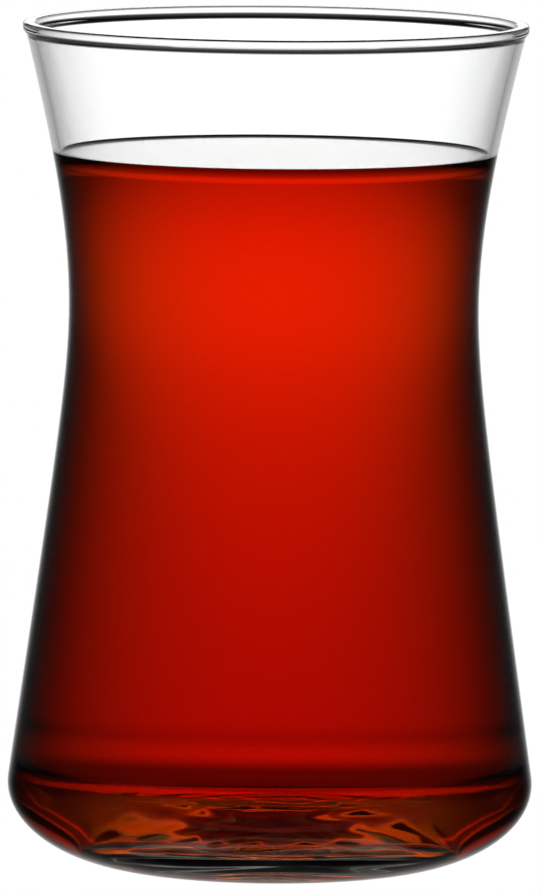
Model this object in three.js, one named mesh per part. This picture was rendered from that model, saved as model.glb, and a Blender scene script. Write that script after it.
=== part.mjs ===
// Filled Turkish tea glass: a waisted tumbler of clear glass and the black tea in it.
// Millimetres, +Z up. The origin is the centre of the foot, at table level.

import * as THREE from 'three';

// Outer wall: narrowest at the waist, it opens into straight flanks above and below it.
const height = 97.5;
const waistHeight = 64.6;
const waistRadius = 23.6;
const lowerSlope = 0.146; // how fast the lower flank widens, in mm per mm
const lowerBend = 1.4; // how softly it turns at the waist
const upperSlope = 0.295;
const upperBend = 6;

// Rounded rim, a little thicker than the wall under it.
const rimThickness = 1.5;
const rimSwellLength = 0.5; // how far down the thickening reaches
const rimSquareness = 6; // 2 makes the top a half circle, more flattens it
const rimDepth = 4; // from the top down to where the rim's own outline begins

// Wall thickness: even above the waist, growing towards the base.
const wallThickness = 0.95;
const extraAtBase = 0.8;

// Base: a flat foot ring round a shallow hollow, and a round corner up to the lower flank.
const footRadius = 15;
const footHollowRadius = 10;
const footHollowDepth = 0.5;
const cornerTop = 10.5;

// Inside: a slightly domed floor and a round corner up to the wall.
const floorHeight = 6;
const floorDome = 0.5;
const floorRadius = 21;
const insideCornerTop = 12.5;

// Tea: level with its surface, which climbs a little at the glass.
const teaLevel = 82.5;
const teaClimb = 0.25;
const climbLength = 0.7;
const teaClearance = 0.3; // between the tea and the glass

const roundHandle = 0.5523; // Bezier handle that makes a quarter of an ellipse
const segments = 56;

const glassMaterial = new THREE.MeshStandardMaterial({
  color: 0xf4f6f5,
  roughness: 0.02,
  metalness: 0,
  transparent: true,
  opacity: 0.3,
});

const teaMaterial = new THREE.MeshStandardMaterial({
  color: 0xb01c06,
  roughness: 0.03,
  metalness: 0,
});

// Radius of the outside at a height: a hyperbola on each side of the waist.
function outerRadius(z) {
  const above = z > waistHeight;
  const bend = above ? upperBend : lowerBend;
  const slope = above ? upperSlope : lowerSlope;
  return waistRadius + Math.hypot(bend, slope * (z - waistHeight)) - bend;
}

// Radius of the inside at a height.
function innerRadius(z) {
  const depth = Math.max(0, waistHeight - z) / waistHeight;
  return outerRadius(z) - wallThickness - extraAtBase * depth ** 2;
}

// Evenly spaced numbers, both ends included.
function steps(from, to, count) {
  return Array.from({ length: count + 1 }, (_, i) => from + ((to - from) * i) / count);
}

// Round corner from a level floor at (r, z) up to a wall, whose radius is a function of height.
function corner(r, z, wall, top, count) {
  const end = wall(top);
  const lean = wall(top + 0.5) - wall(top - 0.5);
  const rise = roundHandle * (top - z);
  return new THREE.CubicBezierCurve(
    new THREE.Vector2(r, z),
    new THREE.Vector2(r + roundHandle * (end - r), z),
    new THREE.Vector2(end - lean * rise, top - rise),
    new THREE.Vector2(end, top),
  ).getPoints(count);
}

// The inside from the middle of the floor to a height on the wall, moved inwards by an inset.
function cavity(inset, top, count) {
  const wall = (z) => innerRadius(z) - inset;
  const floor = floorHeight + inset;
  const dome = steps(0, floorRadius, 3).map(
    (r) => new THREE.Vector2(r, floor + floorDome * (1 - (r / floorRadius) ** 2)),
  );
  const side = steps(insideCornerTop, top, count).map((z) => new THREE.Vector2(wall(z), z));
  return [...dome.slice(0, -1), ...corner(floorRadius, floor, wall, insideCornerTop, 6), ...side.slice(1)];
}

// The rim's outline from the outer wall over the top to the inner wall, about the wall's middle line.
function rim() {
  const half = rimThickness / 2;
  const middle = height - half;
  const wallHalf = wallThickness / 2;
  const swell = [0.85, 0.65, 0.45, 0.25].map((below) => {
    const thicker = (half - wallHalf) * Math.exp(-((below / rimSwellLength) ** 3));
    return { z: middle - below, half: wallHalf + thicker };
  });
  const centre = (z) => outerRadius(z) - wallHalf;
  const outside = swell.map((s) => new THREE.Vector2(centre(s.z) + s.half, s.z));
  const inside = swell.map((s) => new THREE.Vector2(centre(s.z) - s.half, s.z)).reverse();
  const rounded = (x) => Math.sign(x) * Math.abs(x) ** (2 / rimSquareness);
  const over = steps(0, 1, 8).map((part) => {
    const turn = part * Math.PI;
    return new THREE.Vector2(
      centre(middle) + half * rounded(Math.cos(turn)),
      middle + half * rounded(Math.sin(turn)),
    );
  });
  return [...outside, ...over, ...inside];
}

// A solid of revolution about Z from an outline of radius and height.
function turned(name, outline, material) {
  const geometry = new THREE.LatheGeometry(outline, segments);
  geometry.rotateX(Math.PI / 2);
  const mesh = new THREE.Mesh(geometry, material);
  mesh.name = name;
  return mesh;
}

function glass() {
  const top = height - rimDepth;
  const hollow = steps(0, footHollowRadius, 4).map(
    (r) => new THREE.Vector2(r, footHollowDepth * (0.5 + 0.5 * Math.cos((Math.PI * r) / footHollowRadius))),
  );
  const base = corner(footRadius, 0, outerRadius, cornerTop, 8);
  const flank = steps(cornerTop, top, 14).map((z) => new THREE.Vector2(outerRadius(z), z));
  const outline = [...hollow, ...base, ...flank.slice(1), ...rim(), ...cavity(0, top, 13).reverse()];
  return turned('glass', outline, glassMaterial);
}

function tea() {
  const top = teaLevel + teaClimb;
  const edge = innerRadius(top) - teaClearance;
  const surface = [0, 0.2, 0.5, 1, 2].map(
    (inward) => new THREE.Vector2(edge - inward, teaLevel + teaClimb * Math.exp(-inward / climbLength)),
  );
  const side = cavity(teaClearance, top, 11);
  return turned('tea', [...side.slice(0, -1), ...surface, new THREE.Vector2(0, teaLevel)], teaMaterial);
}

const teaGlass = new THREE.Group();
teaGlass.add(glass(), tea());

export default teaGlass;
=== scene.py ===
import math

import bpy
import numpy as np
from mathutils import Matrix, Vector


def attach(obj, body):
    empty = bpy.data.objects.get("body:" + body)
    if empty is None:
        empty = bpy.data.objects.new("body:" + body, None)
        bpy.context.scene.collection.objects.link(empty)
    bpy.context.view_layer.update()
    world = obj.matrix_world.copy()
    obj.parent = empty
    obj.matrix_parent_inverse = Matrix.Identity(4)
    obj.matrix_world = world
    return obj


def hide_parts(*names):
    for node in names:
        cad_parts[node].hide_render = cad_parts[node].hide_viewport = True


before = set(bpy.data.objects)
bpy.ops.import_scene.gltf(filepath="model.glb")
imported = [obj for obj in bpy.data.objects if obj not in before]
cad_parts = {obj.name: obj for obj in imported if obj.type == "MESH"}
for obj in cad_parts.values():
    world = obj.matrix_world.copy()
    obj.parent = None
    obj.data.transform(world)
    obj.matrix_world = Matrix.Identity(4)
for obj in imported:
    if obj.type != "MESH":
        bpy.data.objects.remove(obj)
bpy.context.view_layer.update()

# Glass
# A waisted tumbler of clear soda-lime glass, pressed and spun in one piece. Its rim was melted round by a
# flame, which leaves it a little thicker than the wall under it, and most of the glass is in the base.
mm = 0.001
height = 97.5 * mm
waist_height = 64.6 * mm
waist_radius = 23.6 * mm
lower_slope = 0.146
lower_bend = 1.4 * mm
upper_slope = 0.295
upper_bend = 6 * mm
wall_thickness = 0.95 * mm
extra_at_base = 0.8 * mm
rim_thickness = 1.5 * mm
rim_swell_length = 0.5 * mm
rim_squareness = 6
wall_top = height - 4 * mm
foot_radius = 15 * mm
foot_hollow_radius = 10 * mm
foot_hollow_depth = 0.5 * mm
corner_top = 10.5 * mm
floor_height = 6 * mm
floor_dome = 0.5 * mm
floor_radius = 21 * mm
inside_corner_top = 12.5 * mm
tea_level = 82.5 * mm
tea_climb = 0.25 * mm
tea_top = tea_level + tea_climb
ripple_depth = 0.03 * mm
ripple_pitch = 3.6 * mm
ripple_centre = (1.5 * mm, -1 * mm)
ripple_reach = 23 * mm
ripple_top = 9 * mm
underside_top = 3 * mm
underside_share = 0.35
turns = 256


def outer_radius(z):
    """Radius of the outside at height z: a hyperbola on each side of the waist, where it is smallest."""
    above = z > waist_height
    bend = np.where(above, upper_bend, lower_bend)
    slope = np.where(above, upper_slope, lower_slope)
    return waist_radius + np.hypot(bend, slope * (z - waist_height)) - bend


def inner_radius(z):
    """Radius of the inside at height z: the outside less a wall that grows with the square of the depth."""
    depth = np.maximum(0, waist_height - z) / waist_height
    return outer_radius(z) - wall_thickness - extra_at_base * depth**2


def pairs(r, z):
    """Radii and heights as one array of outline points."""
    return np.column_stack([r, z])


def round_corner(r, z, wall, top, count):
    """Cubic Bezier from a level floor at (r, z) up to the wall at height top, tangent to both."""
    end = wall(top)
    lean = (wall(top + 0.5 * mm) - wall(top - 0.5 * mm)) / mm
    handle = 0.5523
    rise = handle * (top - z)
    points = np.array([(r, z), (r + handle * (end - r), z), (end - lean * rise, top - rise), (end, top)])
    t = np.linspace(0, 1, count)[:, None]
    weights = np.hstack([(1 - t) ** 3, 3 * (1 - t) ** 2 * t, 3 * (1 - t) * t**2, t**3])
    return weights @ points


def cavity(outset, top, count):
    """Outline of the inside from the middle of the floor up the wall to height top, moved into the glass by
    outset: a parabola over the floor, a round corner and then the inner radius at each height."""
    wall = lambda z: inner_radius(z) + outset
    r = np.linspace(0, floor_radius, 80)
    dome = pairs(r, floor_height - outset + floor_dome * (1 - (r / floor_radius) ** 2))
    bend = round_corner(floor_radius, floor_height - outset, wall, inside_corner_top, 26)
    z = np.linspace(inside_corner_top, top, count)
    return np.vstack([dome[:-1], bend, pairs(wall(z), z)[1:]])


def rim_outline():
    """Outline over the rim. Its top is half of a rounded square, |x|^p + |z|^p = 1 in units of half the
    rim's thickness, and the wall swells up to it by exp(-(d / swell length)^3) at a distance d below."""
    half = rim_thickness / 2
    middle = height - half
    wall_half = wall_thickness / 2
    centre = lambda z: outer_radius(z) - wall_half
    z = middle - np.linspace(1, 0, 28)[1:-1] ** 2 * (middle - wall_top)
    thick = wall_half + (half - wall_half) * np.exp(-(((middle - z) / rim_swell_length) ** 3))
    turn = np.linspace(0, np.pi, 36)
    across = np.sign(np.cos(turn)) * np.abs(np.cos(turn)) ** (2 / rim_squareness)
    over = pairs(centre(middle) + half * across, middle + half * np.sin(turn) ** (2 / rim_squareness))
    return np.vstack([pairs(centre(z) + thick, z), over, pairs(centre(z) - thick, z)[::-1]])


def ripple(x, y, z):
    """Height of the ripples that moulding left in the floor, the tea on it and, fainter, the underside of the
    foot: sin(2 pi (d + wander) / pitch) at a distance d from a point beside the axis, where the wander turns
    the rings into a swirl, times a fade to nothing at the floor's edge or at the rim of the hollow."""
    d = np.hypot(x - ripple_centre[0], y - ripple_centre[1])
    bearing = np.arctan2(y - ripple_centre[1], x - ripple_centre[0])
    wander = 0.9 * np.sin(2 * bearing + d / (4 * mm)) + 0.5 * np.sin(5 * bearing - d / (2.5 * mm))
    wander = wander * mm * d / (d + 3 * mm)
    inside = z > underside_top
    reach = np.where(inside, ripple_reach, foot_hollow_radius)
    fade = np.clip(1 - (x**2 + y**2) / reach**2, 0, 1)
    depth = np.where(inside, 1, underside_share) * ripple_depth * fade
    return np.where(z < ripple_top, depth * np.sin(2 * np.pi * (d + wander) / ripple_pitch), 0)


def turned(name, outline, wetted):
    """Surface of revolution: outline point (r, z) lies at (r cos a, r sin a, z + ripple) at angle a. The
    outline starts and ends on the axis, where each end is one shared point. Faces between the outline's
    points numbered in wetted take the piece's second material."""
    r, z = outline[1:-1].T
    a = np.linspace(0, 2 * np.pi, turns, endpoint=False)
    rr, aa = np.meshgrid(r, a, indexing="ij")
    zz = np.broadcast_to(z[:, None], rr.shape)
    rings = np.stack([rr * np.cos(aa), rr * np.sin(aa), zz], axis=-1).reshape(-1, 3)
    places = np.vstack([rings, [0, 0, outline[0, 1]], [0, 0, outline[-1, 1]]])
    places[:, 2] += ripple(*places.T)
    n = len(r)
    i, j = np.meshgrid(np.arange(n - 1), np.arange(turns), indexing="ij")
    k = (j + 1) % turns
    low = i * turns
    high = low + turns
    quads = np.stack([low + j, low + k, high + k, high + j], -1).reshape(-1, 4)
    j = np.arange(turns)
    k = (j + 1) % turns
    first = np.column_stack([np.full(turns, n * turns), k, j])
    last = np.column_stack([np.full(turns, n * turns + 1), (n - 1) * turns + j, (n - 1) * turns + k])
    corners = np.concatenate([quads.ravel(), first.ravel(), last.ravel()])
    sizes = np.concatenate([np.full(len(quads), 4), np.full(2 * turns, 3)])
    band = np.concatenate([np.repeat(np.arange(1, n), turns), np.full(turns, 0), np.full(turns, n)])
    mesh = bpy.data.meshes.new(name)
    mesh.vertices.add(len(places))
    mesh.vertices.foreach_set("co", places.ravel())
    mesh.loops.add(len(corners))
    mesh.loops.foreach_set("vertex_index", corners.astype(np.int32))
    mesh.polygons.add(len(sizes))
    mesh.polygons.foreach_set("loop_start", np.concatenate([[0], np.cumsum(sizes)[:-1]]).astype(np.int32))
    mesh.polygons.foreach_set("use_smooth", np.ones(len(sizes), dtype=bool))
    mesh.polygons.foreach_set("material_index", ((band >= wetted[0]) & (band < wetted[1])).astype(np.int32))
    mesh.update(calc_edges=True)
    mesh.validate()
    piece = bpy.data.objects.new(name, mesh)
    bpy.context.collection.objects.link(piece)
    return piece


def linear(hex_colour):
    """sRGB hex colour as linear RGBA."""
    c = np.array([int(hex_colour[i:i + 2], 16) for i in (1, 3, 5)]) / 255
    c = np.where(c <= 0.04045, c / 12.92, ((c + 0.055) / 1.055) ** 2.4)
    return (*map(float, c), 1.0)


def add(tree, kind, inputs=None, links=None, **settings):
    """Adds a node with its settings, input values and links into its inputs."""
    node = tree.nodes.new(kind)
    for key, value in settings.items():
        setattr(node, key, value)
    for key, value in (inputs or {}).items():
        node.inputs[key].default_value = value
    for key, source in (links or {}).items():
        tree.links.new(source, node.inputs[key])
    return node


def material(name):
    """A new material with an empty node tree."""
    made = bpy.data.materials.new(name)
    made.use_nodes = True
    made.node_tree.nodes.clear()
    return made, made.node_tree


r = np.linspace(0, foot_hollow_radius, 36)
hollow = pairs(r, foot_hollow_depth * (0.5 + 0.5 * np.cos(np.pi * r / foot_hollow_radius)))
base = round_corner(foot_radius, 0, outer_radius, corner_top, 34)
z = np.linspace(corner_top, wall_top, 40)
flank = pairs(outer_radius(z), z)
z = np.linspace(wall_top, tea_top, 12)[:-1]
dry = pairs(inner_radius(z), z)
wet = cavity(0, tea_top, 40)[::-1]
outline = np.vstack([hollow, base, flank[1:], rim_outline(), dry, wet])
glass = turned("glass_body", outline, (len(outline) - len(wet), len(outline)))

# Soda-lime glass as it leaves the flame: a skin as smooth as a liquid's, so reflections are sharp, with a
# slow waviness from cooling, and a grey-green that shows only where light passes through a lot of it. Where
# tea wets it, its mirror is a tenth as strong, because tea bends light almost as much as glass does.
full_mirror = "#ffffff"
wet_mirror = "#595959"
glass_body = {
    "ior": 1.52, "absorbed": "#95daba", "density": 2.0, "faint": "#fefffe",
    "wave": 14 * mm, "depth": 0.002 * mm}


def clear_body(name, mirror, ior, absorbed, density, faint, wave, depth):
    """Clear body that absorbs light on its way through. Its mirror is tinted, its skin is waved by a noise of
    one wave length and depth, and its colour wanders between white and a faint tint."""
    made, tree = material(name)
    place = add(tree, "ShaderNodeTexCoord")
    noise = add(tree, "ShaderNodeTexNoise", {"Scale": 1 / wave, "Detail": 2.0}, {
        "Vector": place.outputs["Object"]})
    skin = add(tree, "ShaderNodeBump", {"Distance": depth}, {"Height": noise.outputs[0]})
    hue = add(tree, "ShaderNodeMix", {6: linear("#ffffff"), 7: linear(faint)}, {0: noise.outputs[0]},
              data_type="RGBA")
    surface = add(tree, "ShaderNodeBsdfPrincipled", {
        "Roughness": 0.0, "IOR": ior, "Transmission Weight": 1.0, "Specular Tint": linear(mirror)}, {
        "Base Color": hue.outputs[2], "Normal": skin.outputs[0]})
    body = add(tree, "ShaderNodeVolumeAbsorption", {"Color": linear(absorbed), "Density": density})
    add(tree, "ShaderNodeOutputMaterial", links={"Surface": surface.outputs[0], "Volume": body.outputs[0]})
    return made


glass.data.materials.append(clear_body("fire_polished_soda_lime_glass", full_mirror, **glass_body))
glass.data.materials.append(clear_body("soda_lime_glass_wetted_by_tea", wet_mirror, **glass_body))
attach(glass, "root")
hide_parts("glass")

# Tea
# Strained black tea, hot and clear, poured to a finger below the rim. It wets the glass all round and climbs
# it a little, which leaves a curved edge at the surface.
climb_length = 0.7 * mm
tea_overlap = 0.05 * mm
edge = float(inner_radius(tea_top)) + tea_overlap
inward = np.linspace(0, 1, 40) ** 2 * edge
tea_surface = pairs(edge - inward, tea_level + tea_climb * np.exp(-inward / climb_length))
side = cavity(tea_overlap, tea_top, 40)[:-1]
tea = turned("tea_drink", np.vstack([side, tea_surface]), (0, len(side)))

# Brewed tea: a clear liquid that takes blue out of the light within a few millimetres and green within a
# few more, so it is amber where it is thin and deep red where it is thick. Its surface is almost still, and
# hardly mirrors where it touches the glass.
tea_body = {
    "ior": 1.333, "absorbed": "#fcc700", "density": 230.0, "faint": "#fffdfa",
    "wave": 9 * mm, "depth": 0.001 * mm}
tea.data.materials.append(clear_body("brewed_black_tea", full_mirror, **tea_body))
tea.data.materials.append(clear_body("brewed_black_tea_against_glass", wet_mirror, **tea_body))
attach(tea, "root")
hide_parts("tea")

# Floor
# A sheet of white paper, lit until it can't be told from the white background. It throws almost no light
# back into the glass.
floor_size = 0.14
floor_drop = 0.02 * mm
sides = 96
spill = 0.005


def white_to_camera(tree):
    """Strength that is full for what the camera sees directly and next to nothing as light on the glass."""
    path = add(tree, "ShaderNodeLightPath")
    seen = add(tree, "ShaderNodeMix", {"A": spill, "B": 1.0}, {"Factor": path.outputs["Is Camera Ray"]},
               data_type="FLOAT")
    return seen.outputs[0]


a = np.linspace(0, 2 * np.pi, sides, endpoint=False)
floor_mesh = bpy.data.meshes.new("studio_floor")
floor_points = np.column_stack([floor_size * np.cos(a), floor_size * np.sin(a), np.full(sides, -floor_drop)])
floor_mesh.from_pydata(floor_points.tolist(), [], [list(range(sides))])
floor = bpy.data.objects.new("studio_floor", floor_mesh)
bpy.context.collection.objects.link(floor)
white_paper, tree = material("white_paper")
glow = add(tree, "ShaderNodeEmission", {"Color": linear("#ffffff")}, {"Strength": white_to_camera(tree)})
add(tree, "ShaderNodeOutputMaterial", links={"Surface": glow.outputs[0]})
floor_mesh.materials.append(white_paper)
floor.visible_transmission = False
floor.visible_glossy = False

# Painted shade
# A low strip of grey film in a ring round the foot: painted shade that stands for the shaded table behind the
# base. It lets a seventh of the light through and fades to clear at its top, so it dims what comes in low
# behind the base. Only light that has passed the glass meets it.
shade_film_radius = 34 * mm
shade_film_height = 8.4 * mm
fade_from = 5.4 * mm
shade_film_passes = 0.15
a, z = np.meshgrid(np.linspace(0, 2 * np.pi, sides + 1), (0, shade_film_height), indexing="ij")
shade_film_points = np.stack([shade_film_radius * np.cos(a), shade_film_radius * np.sin(a), z], axis=-1).reshape(-1, 3)
i = 2 * np.arange(sides)
shade_film_mesh = bpy.data.meshes.new("painted_shade_film")
shade_film_mesh.from_pydata(shade_film_points.tolist(), [], np.column_stack([i, i + 2, i + 3, i + 1]).tolist())
shade_film = bpy.data.objects.new("painted_shade_film", shade_film_mesh)
bpy.context.collection.objects.link(shade_film)
# Painted shade: the film passes a seventh of the light near the table and all of it at its top.
graded_shade_film, tree = material("graded_painted_shade_film")
place = add(tree, "ShaderNodeTexCoord")
parts = add(tree, "ShaderNodeSeparateXYZ", links={0: place.outputs["Object"]})
passed = add(
    tree, "ShaderNodeMapRange", {"From Min": fade_from, "From Max": shade_film_height, "To Min": shade_film_passes},
    {"Value": parts.outputs["Z"]}, interpolation_type="SMOOTHSTEP")
sheet = add(tree, "ShaderNodeBsdfTransparent", links={"Color": passed.outputs[0]})
add(tree, "ShaderNodeOutputMaterial", links={"Surface": sheet.outputs[0]})
shade_film_mesh.materials.append(graded_shade_film)
shade_film.visible_camera = False
shade_film.visible_glossy = False

# Camera
# A long lens a little above the rim's height, looking slightly down.
aim = Vector((-0.3 * mm, 0, 48.5 * mm))
roll = math.radians(0.5)
lens = bpy.data.cameras.new("camera")
lens.lens = 526.9
lens.sensor_width = 36
lens.clip_start = 0.01
lens.clip_end = 10
camera = bpy.data.objects.new("camera", lens)
bpy.context.collection.objects.link(camera)
camera.location = (0, -1.5, 0.2035)
look = (aim - camera.location).to_track_quat("-Z", "Y")
camera.rotation_euler = (look.to_matrix() @ Matrix.Rotation(roll, 3, "Z")).to_euler()
bpy.context.scene.camera = camera

# Light
# One large soft panel stands behind the glass, opposite the camera, and fades to its sides and downwards. A
# brighter strip over it shows only in what is mirrored, such as the tea's surface. The rest of the room is
# dark, which draws the dark edges. Both rows give angles above the line of sight, in degrees.
half_angle = math.radians(80)
panel_peak = 1.14
panel_rows = [
    (-60, 0.02), (-30, 0.1), (-20, 0.3), (-14, 0.4), (-7, 0.62), (-3.5, 1), (0, 1.15), (3, 1.15), (5.5, 1.12),
    (8, 0.85), (10, 0.4), (13, 0.2), (16, 0.1), (25, 0.02), (60, 0.01)]
strip_rows = [
    (-60, 0.02), (-30, 0.1), (-14, 0.4), (-7, 0.5), (-3, 0.8), (3, 0.8), (5.5, 0.35), (8, 0.3), (9.5, 1.7),
    (11.5, 1.7), (13, 0.2), (25, 0.02), (60, 0.01)]
rise_reach = 60
side_reach = 70
side_step = 7
through_spread = 22
mirrored_spread = 9


def ramp(tree, source, low, high, points):
    """Smooth grey curve over an angle from low to high degrees, through points of angle and brightness."""
    span = add(tree, "ShaderNodeMapRange", {"From Min": low, "From Max": high}, {"Value": source})
    curve = add(tree, "ShaderNodeValToRGB", links={0: span.outputs[0]})
    curve.color_ramp.interpolation = "B_SPLINE"
    while len(curve.color_ramp.elements) < len(points):
        curve.color_ramp.elements.new(0.5)
    for element, (angle, value) in zip(curve.color_ramp.elements, points):
        element.position = (angle - low) / (high - low)
        element.color = (value, value, value, 1)
    return curve


def panel(name, spread):
    """A distant lamp behind the glass. Its brightness in a direction is exp(-(side / spread)^2 / 2), where
    side is the angle to the left or right in degrees, times the curve of the rows over the angle upwards."""
    light = bpy.data.lights.new(name, "SUN")
    light.angle = 2 * half_angle
    light.energy = math.pi * math.sin(half_angle) ** 2
    light.use_nodes = True
    tree = light.node_tree
    tree.nodes.clear()
    place = add(tree, "ShaderNodeTexCoord")
    towards = add(tree, "ShaderNodeVectorMath", {"Scale": -1.0}, {0: place.outputs["Normal"]},
                  operation="SCALE")
    parts = add(tree, "ShaderNodeSeparateXYZ", links={0: towards.outputs[0]})
    side = add(tree, "ShaderNodeMath", links={0: parts.outputs["X"], 1: parts.outputs["Z"]},
               operation="ARCTAN2")
    rise = add(tree, "ShaderNodeMath", links={0: parts.outputs["Y"]}, operation="ARCSINE")
    side = add(tree, "ShaderNodeMath", {1: math.degrees(1)}, {0: side.outputs[0]}, operation="MULTIPLY")
    rise = add(tree, "ShaderNodeMath", {1: math.degrees(1)}, {0: rise.outputs[0]}, operation="MULTIPLY")
    angles = range(side_step - side_reach, side_reach, side_step)
    fall = [(angle, math.exp(-((angle / spread) ** 2) / 2)) for angle in angles]
    across = ramp(tree, side.outputs[0], -side_reach, side_reach, fall)
    brightest = max(value for angle, value in strip_rows)
    plain, with_strip = (
        ramp(tree, rise.outputs[0], -rise_reach, rise_reach, [(at, value / brightest) for at, value in rows])
        for rows in (panel_rows, strip_rows))
    path = add(tree, "ShaderNodeLightPath")
    mirrored = add(tree, "ShaderNodeMath", {1: 0.5}, {0: path.outputs["Glossy Depth"]},
                   operation="GREATER_THAN")
    up = add(tree, "ShaderNodeMix", links={
        0: mirrored.outputs[0], 6: plain.outputs[0], 7: with_strip.outputs[0]}, data_type="RGBA")
    both = add(tree, "ShaderNodeMix", {"Factor": 1.0}, {6: across.outputs[0], 7: up.outputs[2]},
               data_type="RGBA", blend_type="MULTIPLY")
    glow = add(tree, "ShaderNodeEmission", {"Strength": panel_peak * brightest}, {"Color": both.outputs[2]})
    add(tree, "ShaderNodeOutputLight", links={"Surface": glow.outputs[0]})
    lamp = bpy.data.objects.new(name, light)
    bpy.context.collection.objects.link(lamp)
    lamp.parent = camera
    lamp.rotation_euler = (0, math.pi, 0)
    lamp.visible_camera = False
    return lamp


panel("panel_through_glass", through_spread).visible_glossy = False
panel("panel_in_reflections", mirrored_spread).visible_transmission = False
scene = bpy.context.scene
world = bpy.data.worlds.new("studio")
scene.world = world
world.use_nodes = True
tree = world.node_tree
tree.nodes.clear()
sky = add(tree, "ShaderNodeBackground", {"Color": linear("#ffffff")}, {"Strength": white_to_camera(tree)})
add(tree, "ShaderNodeOutputWorld", links={"Surface": sky.outputs[0]})
scene.view_settings.view_transform = "Standard"
scene.cycles.max_bounces = 24
scene.cycles.transmission_bounces = 24
scene.cycles.glossy_bounces = 8
